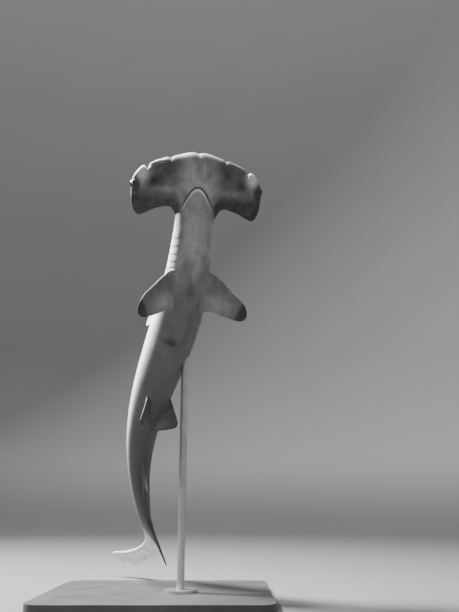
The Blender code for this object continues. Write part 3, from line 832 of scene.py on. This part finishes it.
def on_both_sides(tree, rows):
    """The paths through the rows on the shark's left and, mirrored, on its right."""
    return [on_skin(tree, [side * row[0] for row in rows], [row[1] for row in rows]) for side in (1, -1)]


def smooth_curve(steps, values, fine):
    return between(list(zip(steps, values)), 1, fine)


def stroke(skin, path, width, depth, towards, power=2.0, ends=0.12, dark=0.0):
    """Press a groove along the path, or raise a ridge where the depth is negative, with painted shade in the
    groove where dark is above 0.
    """
    points = points_of(skin)
    distance, along = nearest(points, path, width * 3)
    taper = np.clip(np.minimum(along, 1 - along) / ends, 0.0, 1.0) ** 0.5
    press = np.where(np.isfinite(distance), np.exp(-(distance / width) ** power) * taper, 0.0)
    move_points(skin, points + press[:, None] * depth * towards)
    if dark:
        keep_fact(skin, "dark", np.maximum(fact_of(skin, "dark"), dark * press))


def mouth_arch(margin):
    """The mouth's arch from corner to corner, grown by a margin."""
    share = np.linspace(-1.0, 1.0, 17)
    depth = MOUTH_CORNER - MOUTH_FRONT
    return (MOUTH_HALF + margin) * share, MOUTH_FRONT - margin + depth * np.abs(share) ** 2


def carve_head(skin):
    """Mouth, lips and nostrils."""
    tree = BVHTree.FromObject(skin, bpy.context.evaluated_depsgraph_get())
    mouth = on_skin(tree, *mouth_arch(0.0))
    upper_lip = on_skin(tree, *mouth_arch(LIP_MARGIN))
    fold = on_skin(tree, *mouth_arch(FOLD_MARGIN))
    lower_lip = on_skin(tree, *mouth_arch(-LIP_MARGIN))
    chin = on_skin(tree, *mouth_arch(-FOLD_MARGIN))
    nostrils = on_both_sides(tree, NOSTRIL)
    grooves = on_both_sides(tree, NOSTRIL_GROOVE)
    furrows = on_both_sides(tree, MOUTH_FURROW)
    refine(skin, [mouth, *nostrils, *furrows], FINE_REACH, FINE_EDGE)
    up = HEAD_BACK
    stroke(skin, fold, *FOLD_STROKE, up, ends=0.2)
    stroke(skin, chin, *CHIN_STROKE, up, ends=0.2)
    stroke(skin, upper_lip, *UPPER_LIP_STROKE, up)
    stroke(skin, lower_lip, *LOWER_LIP_STROKE, up)
    stroke(skin, mouth, *MOUTH_STROKE, up + MOUTH_SLANT * HEAD_AHEAD, power=4, dark=0.9)
    for furrow in furrows:
        stroke(skin, furrow, *FURROW_STROKE, up, power=3, ends=0.3, dark=0.7)
    for groove in grooves:
        stroke(skin, groove, *GROOVE_STROKE, up, ends=0.35)
    for nostril in nostrils:
        stroke(skin, nostril, *NOSTRIL_RIM_STROKE, up, ends=0.3)
        stroke(skin, nostril, *NOSTRIL_STROKE, up, power=4, dark=1.0)


def make_skin():
    """One closed skin from the body, the hammer and the fins, with the head's detail and eye sockets."""
    skin = make_body()
    combine(skin, make_hammer(), "UNION")
    fair(skin, *HAMMER_SEAM)
    for side in (1, -1):
        add_lids(skin, side)
    combine(skin, make_fins(), "UNION")
    fair(skin, *FIN_SEAM)
    carve_head(skin)
    axes = (HEAD_AHEAD, HEAD_BACK, HEAD_LEFT)
    radius = LENGTH * EYE_RADIUS + SOCKET_GAP
    for side in (1, -1):
        combine(skin, blob("socket", eye_middle(side), axes, (radius,) * 3, 96, 64), "DIFFERENCE")
    return skin


def facing_back(skin, headed, girth):
    """From 1 on the back to -1 on the belly, by where a point faces and by its place round the body."""
    normals = np.zeros(len(skin.data.vertices) * 3, np.float32)
    skin.data.vertices.foreach_get("normal", normals)
    back = headings(fact_of(skin, "place"))[2]
    facing = np.einsum("ij,ij->i", normals.reshape(-1, 3), back)
    finned = ease(fact_of(skin, "tip"), 0.0, 0.1) * (np.abs(girth) < 0.95)
    share = GIRTH_SHARE * (1 - np.maximum(headed, finned))
    return (1 - share) * facing + share * girth


def marked(marks, first, second):
    """The sum of soft oval marks, from rows of a middle, a reach each way and a strength."""
    total = np.zeros(len(first))
    for first_middle, second_middle, first_reach, second_reach, strength in marks:
        spread = ((first - first_middle) / first_reach) ** 2 + ((second - second_middle) / second_reach) ** 2
        total = total + strength * np.exp(-spread)
    return total


def head_painted_light_and_lines(reach, behind):
    """Painted highlights on the rim of the lower jaw and on the ends of the hammer, and two faint pale lines
    by its middle.
    """
    inside = behind - (MOUTH_FRONT + (MOUTH_CORNER - MOUTH_FRONT) * (reach / MOUTH_HALF) ** 2)
    lip_highlight = np.exp(-((inside - 0.0040) / 0.0028) ** 2) * (1 - ease(reach, 0.024, 0.028))
    lines = 0.3 * np.exp(-((reach - 0.0100) / 0.0016) ** 2)
    lines = lines * ease(behind, 0.012, 0.02) * (1 - ease(behind, 0.04, 0.05))
    return np.clip(lip_highlight + marked(LOBE_PAINTED_LIGHT, reach, behind) + lines, 0.0, 1.0)


def add_shading_facts(skin):
    """What the finish needs at each point: how far it faces the back, its stained and painted-shade patches,
    and its painted light and pale lines.
    """
    points = points_of(skin)
    place = fact_of(skin, "place")
    girth = fact_of(skin, "girth")
    aside, behind, _ = head_frame(points)
    reach = np.abs(aside)
    headed = 1 - ease(behind, *HEAD_RANGE)
    keep_fact(skin, "back", facing_back(skin, headed, girth))
    sideways = np.einsum("ij,ij->i", points - axis_point(place), headings(place)[1]) / LENGTH
    below = girth < 0
    # Darker towards the wings' ends and rear: partly the hammer's own dusky colour, partly painted shade
    wing_stain_and_shade = ease(reach, *HAMMER_STAIN_AND_SHADE_RANGE) * (0.70 + 0.32 * ease(behind, 0.066, 0.092))
    wing_stain_and_shade = wing_stain_and_shade + marked(HAMMER_PAINTED_LIGHT_AND_SHADE, reach, behind)
    stain = fact_of(skin, "stain") + headed * wing_stain_and_shade + marked(BELLY_BLOTCHES_AND_SHADE, place, sideways) * below
    keep_fact(skin, "stain", np.clip(stain, 0.0, 1.0))
    throat_start, throat_end = THROAT_HIGHLIGHT_RANGES
    throat = ease(place, *throat_start) * (1 - ease(place, *throat_end)) * below
    # Painted highlight along the middle of the throat, where a ridge would catch the light
    throat_highlight = 0.14 * np.exp(-(sideways / 0.0040) ** 2) * throat
    keep_fact(skin, "light", head_painted_light_and_lines(reach, behind) * headed + throat_highlight)


class Value:
    """A value socket whose sums and products add Math nodes."""

    def __init__(self, finish, socket):
        self.finish = finish
        self.socket = socket

    def maths(self, operation, *values):
        return self.finish.node("ShaderNodeMath", {"operation": operation}, dict(enumerate(values)))

    def __add__(self, other):
        return self.maths("ADD", self, other)

    __radd__ = __add__

    def __mul__(self, other):
        return self.maths("MULTIPLY", self, other)

    __rmul__ = __mul__

    def __sub__(self, other):
        return self.maths("SUBTRACT", self, other)

    def __rsub__(self, other):
        return self.maths("SUBTRACT", other, self)

    def sine(self):
        return self.maths("SINE", self)

    def eased(self, low, high):
        """From 0 at low to 1 at high, with soft ends."""
        return self.finish.node(
            "ShaderNodeMapRange", {"interpolation_type": "SMOOTHSTEP"},
            {0: self, 1: low, 2: high, 3: 0.0, 4: 1.0})


class Finish:
    """A material that is being made."""

    def __init__(self, name):
        self.material = bpy.data.materials.new(name)
        self.material.use_nodes = True
        self.tree = self.material.node_tree
        self.tree.nodes.clear()
        self.shader = self.tree.nodes.new("ShaderNodeBsdfPrincipled")
        output = self.tree.nodes.new("ShaderNodeOutputMaterial")
        self.tree.links.new(self.shader.outputs[0], output.inputs["Surface"])
        self.place = self.node("ShaderNodeTexCoord", {}, {}, "Object")

    def node(self, kind, settings, sockets, output=0):
        """Add a node: its settings first, then the values and links of its sockets."""
        node = self.tree.nodes.new(kind)
        for name, setting in settings.items():
            setattr(node, name, setting)
        for name, value in sockets.items():
            self.feed(node.inputs[name], value)
        return Value(self, node.outputs[output])

    def feed(self, socket, value):
        if isinstance(value, Value):
            self.tree.links.new(value.socket, socket)
        else:
            socket.default_value = value

    def set(self, **sockets):
        """Feed the shader's sockets, named with _ for a space."""
        for name, value in sockets.items():
            self.feed(self.shader.inputs[name.replace("_", " ")], value)

    def fact(self, name):
        return self.node("ShaderNodeAttribute", {"attribute_name": name}, {}, "Fac")

    def noise(self, scale, detail=3.0, rough=0.5, place=None, warp=0.0):
        return self.node("ShaderNodeTexNoise", {}, {
            "Vector": place or self.place, "Scale": scale, "Detail": detail,
            "Roughness": rough, "Distortion": warp})

    def cells(self, scale):
        return self.node("ShaderNodeTexVoronoi", {}, {"Vector": self.place, "Scale": scale})

    def stretched(self, scale):
        return self.node("ShaderNodeVectorMath", {"operation": "MULTIPLY"}, {0: self.place, 1: scale})

    def mix(self, share, start, end):
        """The start colour at a share of 0, the end colour at 1."""
        start = start if isinstance(start, Value) else (*start, 1.0)
        end = end if isinstance(end, Value) else (*end, 1.0)
        return self.node("ShaderNodeMix", {"data_type": "RGBA"}, {0: share, 6: start, 7: end}, 2)

    def bump(self, height, depth, strength, under=None):
        sockets = {"Height": height, "Distance": depth, "Strength": strength}
        if under:
            sockets["Normal"] = under
        return self.node("ShaderNodeBump", {}, sockets)


def under_colour(skin, back, place, tip, tail, blotches):
    """The belly, with painted light on the flanks and the tail, and painted shade under the belly and behind
    the pectoral fins.
    """
    streaks = skin.noise(16.0, 4.0, 0.6, skin.stretched((1.0, 1.0, 0.4)))
    trunk = place.eased(*TRUNK_RANGE)
    stern = place.eased(*STERN_RANGE)
    # Painted light: the flanks painted much paler than the belly, as if lit from the side
    flank = back.eased(-0.42, -0.05) * (0.35 + 0.65 * trunk)
    # Painted shade: the belly darkened from the pectoral fins back
    belly = (0 - back).eased(0.25, 0.75) * (0.12 + 0.88 * place.eased(*BELLY_SHADE_RANGE))
    belly = belly * (1 - 0.6 * tip.eased(0.05, 0.30))
    # Painted shade: the trunk and the tail's stem darkened behind the pectoral fins, less on the
    # painted-light flanks
    aft_shade = place.eased(*AFT_SHADE_RANGE) * (0.90 + 0.05 * stern - flank * (0.55 - 0.45 * stern))
    colour = skin.mix(blotches.eased(0.32, 0.70), BELLY_PALE, BELLY_GREY)
    colour = skin.mix(flank * 0.80, colour, FLANK_PAINTED_LIGHT)
    colour = skin.mix(streaks.eased(0.42, 0.75) * (0.75 - 0.35 * trunk), colour, STREAK_GREY)
    colour = skin.mix(belly * 0.76 * (1 - tail), colour, BELLY_PAINTED_SHADE)
    colour = skin.mix(aft_shade * (1 - tail), colour, AFT_PAINTED_SHADE)
    # Painted light: the tail's upper lobe painted pale
    return skin.mix(tail, colour, skin.mix(blotches.eased(0.40, 0.60), TAIL_PAINTED_LIGHT, TAIL_PAINTED_LIGHT_GREY))


def marked_colour(skin, colour, shade, tip, blotches, grain):
    """The colour with its stained and painted-shade patches, painted light, black fin tips, speckle, fine
    grain and painted shade in the slits.
    """
    # Stains, with painted shade on the fins, the hammer and the neck
    stain = skin.fact("stain") * (0.97 + 0.4 * (blotches - 0.5)) * (1 - shade)
    tips = (tip + 0.06 * (blotches - 0.5)).eased(0.80, 0.87)
    speckle = skin.cells(160.0).eased(0.10, 0.26)
    colour = skin.mix(stain, colour, STAIN_AND_SHADE_DARK)
    # Painted light: highlights on the lower jaw's rim, the hammer's ends and the throat's middle, with two
    # pale lines
    colour = skin.mix(skin.fact("light") * (0.35 + 0.6 * blotches), colour, PAINTED_LIGHT_PALE)
    colour = skin.mix(tips * 0.90, colour, TIP_BLACK)
    colour = skin.mix((1 - speckle) * 0.12, colour, SPECKLE_DARK)
    colour = skin.mix(grain.eased(0.30, 0.75) * 0.10, colour, GRAIN_PALE)
    # Painted shade in the gill slits, the mouth, the nostrils and the mouth's furrows
    return skin.mix(skin.fact("dark").eased(0.10, 0.80) * 0.95, colour, SLIT_PAINTED_SHADE)


def skin_finish():
    """A dusky back over a mottled pale underside with painted light and shade, rough with fine scales and
    ribbed on the fins.
    """
    skin = Finish("shark_skin")
    back = skin.fact("back")
    tip = skin.fact("tip")
    place = skin.fact("place")
    clouds = skin.noise(5.0, 5.0, 0.55)
    blotches = skin.noise(24.0, 5.0, 0.6, warp=0.4)
    grain = skin.noise(260.0, 3.0)
    # Painted light on the tail, which also thins the dusky back there
    tail = place.eased(*TAIL_LIGHT_RANGE)
    shade = (back + 0.22 * (clouds - 0.5) + 0.12 * (blotches - 0.5)).eased(0.28, 0.72) * (1 - 0.5 * tail)
    dusk = skin.mix(blotches.eased(0.30, 0.72), DUSK_PALE, DUSK_DARK)
    colour = skin.mix(shade, under_colour(skin, back, place, tip, tail, blotches), dusk)
    rays = (skin.fact("ray") * 210.0 + 1.5 * clouds).sine() * tip.eased(0.08, 0.35)
    relief = skin.bump(blotches, 0.0010, 0.5)
    relief = skin.bump(rays, 0.00025, 0.5, relief)
    relief = skin.bump(skin.cells(850.0), 0.00030, 0.55, relief)
    skin.set(Base_Color=marked_colour(skin, colour, shade, tip, blotches, grain),
             Roughness=0.42 + 0.20 * blotches + 0.06 * grain, Normal=relief,
             Coat_Weight=0.04, Coat_Roughness=0.32, IOR=1.45, Specular_IOR_Level=0.25)
    return skin.material


def eye_finish():
    """A round black pupil in a dark iris, wet and glossy."""
    eye = Finish("shark_eye")
    facing = eye.fact("facing")
    rays = eye.noise(900.0, 4.0, 0.6)
    iris = eye.mix(rays.eased(0.3, 0.7), IRIS_DARK, IRIS_BROWN)
    colour = eye.mix((facing + 0.01 * (rays - 0.5)).eased(0.918, 0.932), iris, PUPIL_BLACK)
    colour = eye.mix(1 - facing.eased(0.70, 0.78), colour, EYE_RIM)
    eye.set(Base_Color=colour, Roughness=0.10 + 0.08 * rays, Coat_Weight=0.4, Coat_Roughness=0.05)
    return eye.material


def plinth_finish():
    """Satin paint with a faint haze and long scuffs."""
    paint = Finish("satin_plinth")
    haze = paint.noise(9.0, 4.0, 0.6)
    grain = paint.noise(1400.0, 2.0)
    scuffs = paint.noise(40.0, 6.0, 0.7, paint.stretched((1.0, 0.12, 1.0)))
    colour = paint.mix(haze.eased(0.3, 0.7), (0.040, 0.041, 0.044), (0.055, 0.056, 0.060))
    colour = paint.mix(scuffs.eased(0.66, 0.80) * 0.25, colour, (0.12, 0.12, 0.12))
    paint.set(Base_Color=colour, Roughness=0.36 + 0.14 * haze + 0.10 * scuffs.eased(0.6, 0.8),
              Normal=paint.bump(grain, 0.00008, 0.4), Specular_IOR_Level=0.5)
    return paint.material


def steel_finish():
    """Steel brushed along the rod."""
    steel = Finish("brushed_rod")
    lines = steel.noise(900.0, 3.0, 0.6, steel.stretched((1.0, 1.0, 0.02)))
    haze = steel.noise(14.0, 4.0, 0.55)
    colour = steel.mix(haze.eased(0.3, 0.7), (0.50, 0.50, 0.51), (0.62, 0.62, 0.62))
    steel.set(Base_Color=colour, Metallic=1.0, Roughness=0.22 + 0.14 * lines + 0.08 * haze,
              Normal=steel.bump(lines, 0.00005, 0.35))
    return steel.material


def dress(item, material):
    item.data.materials.clear()
    item.data.materials.append(material)
    return item


def make_eye(side, name, node, material):
    radius = LENGTH * EYE_RADIUS
    eye = blob(name, eye_middle(side), (HEAD_AHEAD, HEAD_BACK, HEAD_LEFT), (radius,) * 3, 64, 48)
    offset = unit(points_of(eye) - eye_middle(side))
    keep_fact(eye, "facing", offset @ HEAD_LEFT * side)
    dress(eye, material)
    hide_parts(node)
    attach(eye, "root")


def build_shark():
    skin = make_skin()
    add_shading_facts(skin)
    dress(skin, skin_finish())
    flesh = [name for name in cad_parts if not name.startswith(("stand_", "eye_"))]
    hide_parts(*flesh)
    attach(skin, "root")
    material = eye_finish()
    make_eye(1, "eyeball_left", "eye_left", material)
    make_eye(-1, "eyeball_right", "eye_right", material)


def build_stand():
    plinth = plinth_finish()
    steel = steel_finish()
    for node, material in (("stand_base", plinth), ("stand_foot", steel), ("stand_rod", steel)):
        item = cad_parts[node]
        for slot in item.material_slots:
            slot.material = material


def stage_finish():
    """A backdrop with painted shade, a little darker by the floor than higher up."""
    cloth = Finish("pale_backdrop")
    height = cloth.node("ShaderNodeSeparateXYZ", {}, {0: cloth.place}, 2)
    haze = cloth.noise(1.2, 3.0)
    colour = cloth.mix(height.eased(0.0, 1.2), (0.11, 0.11, 0.11), (0.30, 0.30, 0.30))
    colour = cloth.mix(haze * 0.12, colour, (0.18, 0.18, 0.18))
    cloth.set(Base_Color=colour, Roughness=0.9)
    return cloth.material


def build_stage():
    """A round pale floor that turns up into a wall all round."""
    profile = [(out, 0.0) for out in FLOOR_RINGS]
    for step in range(1, CURVE_STEPS + 1):
        turn = math.pi / 2 * step / CURVE_STEPS
        profile.append((FLOOR_RINGS[-1] + WALL_CURVE * math.sin(turn), WALL_CURVE * (1 - math.cos(turn))))
    profile.append((FLOOR_RINGS[-1] + WALL_CURVE, WALL_HEIGHT))
    turns = [2 * math.pi * k / STAGE_SIDES for k in range(STAGE_SIDES)]
    verts = [(out * math.cos(t), out * math.sin(t), height) for out, height in profile for t in turns]
    verts.append((0.0, 0.0, 0.0))
    faces = []
    for row in range(len(profile) - 1):
        for k in range(STAGE_SIDES):
            here = row * STAGE_SIDES + k
            following = row * STAGE_SIDES + (k + 1) % STAGE_SIDES
            faces.append((here, here + STAGE_SIDES, following + STAGE_SIDES, following))
    faces += [(len(verts) - 1, k, (k + 1) % STAGE_SIDES) for k in range(STAGE_SIDES)]
    data = bpy.data.meshes.new("backdrop")
    data.from_pydata(verts, [], faces)
    data.shade_smooth()
    data.materials.append(stage_finish())
    item = bpy.data.objects.new("backdrop", data)
    bpy.context.scene.collection.objects.link(item)


def soft_light(name, place, aim, size, power, spread):
    """A round lamp that points at the aim."""
    data = bpy.data.lights.new(name, "AREA")
    data.spread = math.radians(spread)
    data.shape = "DISK"
    data.size = size
    data.energy = power
    item = bpy.data.objects.new(name, data)
    item.location = place
    item.rotation_euler = (Vector(aim) - Vector(place)).to_track_quat("-Z", "Y").to_euler()
    bpy.context.scene.collection.objects.link(item)


def build_lights():
    """The lamps, in a room with no light of its own."""
    for lamp in LAMPS:
        soft_light(*lamp)
    world = bpy.data.worlds.new("studio")
    world.use_nodes = True
    world.node_tree.nodes["Background"].inputs["Strength"].default_value = 0.0
    bpy.context.scene.world = world


def build_camera():
    """The photo's view, from below and in front."""
    data = bpy.data.cameras.new("camera")
    data.lens = CAMERA_LENS
    data.sensor_width = CAMERA_SENSOR
    item = bpy.data.objects.new("camera", data)
    item.location = CAMERA_PLACE
    item.rotation_euler = (math.radians(CAMERA_TILT), 0.0, 0.0)
    bpy.context.scene.collection.objects.link(item)
    bpy.context.scene.camera = item


build_shark()
build_stand()
build_stage()
build_lights()
build_camera()
